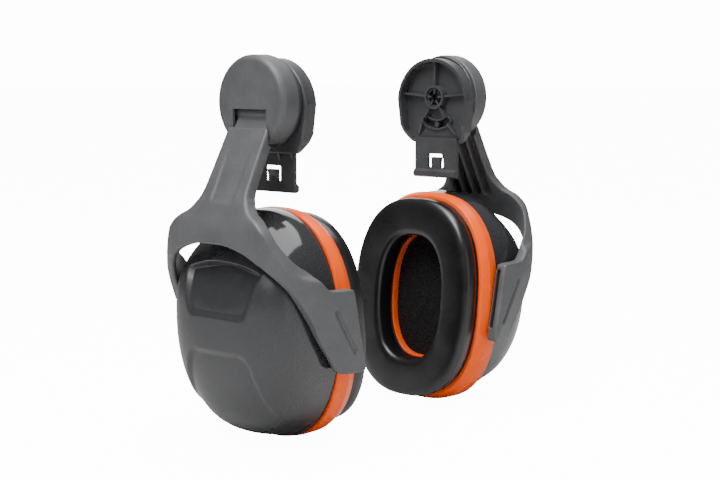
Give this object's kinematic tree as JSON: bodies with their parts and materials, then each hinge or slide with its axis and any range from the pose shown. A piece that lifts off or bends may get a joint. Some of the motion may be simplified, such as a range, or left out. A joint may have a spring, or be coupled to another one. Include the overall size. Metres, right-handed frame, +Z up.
{
  "type": "helmet-mounted ear defenders",
  "caption": "Pair of helmet-mounted ear defenders: deep oval cups on sprung yoke arms with swivel discs and clip-in slot adapters.",
  "frame": {"origin": "midway between the two cups, fore and aft and across, level with their lowest points", "axes": "+X outward through the right cup, +Y towards the back, +Z up"},
  "size_m": [0.2124, 0.099, 0.1854],
  "materials": {
    "arm_plastic": "fine moulded grain, dark grey",
    "mount_plastic": "smooth satin, near black",
    "shell_plastic": "matt face with glossy flanks, dark grey",
    "ring_plastic": "glossy orange",
    "shoe_plastic": "satin black",
    "cushion_skin": "semi-gloss black PVC",
    "foam": "open-cell black foam",
    "steel": "plain"
  },
  "bodies": {
    "left_mount": {"left_helmet_adapter": "mount_plastic"},
    "left_swivel": {"left_swivel_base": "mount_plastic", "left_swivel_cap": "arm_plastic", "left_pivot_screw": "steel", "left_pivot_washer": "steel", "left_hinge_pin": "steel", "left_leaf_spring": "steel"},
    "left_arm": {"left_yoke_arm": "arm_plastic"},
    "left_slider": {"left_slide_shoe_rear": "shoe_plastic", "left_slide_shoe_front": "shoe_plastic"},
    "left_cup": {"left_cup_shell": "shell_plastic", "left_seal_ring": "ring_plastic", "left_cushion_plate": "mount_plastic", "left_cushion_cover": "cushion_skin", "left_cushion_core": "foam", "left_foam_insert": "foam"},
    "right_mount": {"right_helmet_adapter": "mount_plastic"},
    "right_swivel": {"right_swivel_base": "mount_plastic", "right_swivel_cap": "arm_plastic", "right_pivot_screw": "steel", "right_pivot_washer": "steel", "right_hinge_pin": "steel", "right_leaf_spring": "steel"},
    "right_arm": {"right_yoke_arm": "arm_plastic"},
    "right_slider": {"right_slide_shoe_rear": "shoe_plastic", "right_slide_shoe_front": "shoe_plastic"},
    "right_cup": {"right_cup_shell": "shell_plastic", "right_seal_ring": "ring_plastic", "right_cushion_plate": "mount_plastic", "right_cushion_cover": "cushion_skin", "right_cushion_core": "foam", "right_foam_insert": "foam"}
  },
  "joints": [
    {"name": "helmet_width", "type": "slide", "parent": "left_mount", "child": "right_mount", "axis": [1, 0, 0], "range_m": [0, 0.06]},
    {"name": "left_swivel", "type": "hinge", "parent": "left_mount", "child": "left_swivel", "pos_m": [-0.0656, 0, 0.1631], "axis": [-1, 0, 0], "range_deg": [-30, 30]},
    {"name": "left_arm_swing", "type": "hinge", "parent": "left_swivel", "child": "left_arm", "pos_m": [-0.0729, 0, 0.1581], "axis": [0, 1, 0], "range_deg": [0, 35], "stiffness_Nm_per_rad": 0.9, "springref_deg": -34.38, "deforming": ["left_leaf_spring"]},
    {"name": "left_cup_height", "type": "slide", "parent": "left_arm", "child": "left_slider", "axis": [-0.2426, 0, 0.9701], "range_m": [-0.005, 0.003]},
    {"name": "left_cup_tilt", "type": "hinge", "parent": "left_slider", "child": "left_cup", "pos_m": [-0.0655, 0, 0.0568], "axis": [0, -1, 0], "range_deg": [-12, 4]},
    {"name": "right_swivel", "type": "hinge", "parent": "right_mount", "child": "right_swivel", "pos_m": [0.0656, 0, 0.1631], "axis": [1, 0, 0], "range_deg": [-30, 30]},
    {"name": "right_arm_swing", "type": "hinge", "parent": "right_swivel", "child": "right_arm", "pos_m": [0.0729, 0, 0.1581], "axis": [0, -1, 0], "range_deg": [0, 35], "stiffness_Nm_per_rad": 0.9, "springref_deg": -34.38, "deforming": ["right_leaf_spring"]},
    {"name": "right_cup_height", "type": "slide", "parent": "right_arm", "child": "right_slider", "axis": [0.2426, 0, 0.9701], "range_m": [-0.005, 0.003]},
    {"name": "right_cup_tilt", "type": "hinge", "parent": "right_slider", "child": "right_cup", "pos_m": [0.0655, 0, 0.0568], "axis": [0, 1, 0], "range_deg": [-12, 4]}
  ]
}
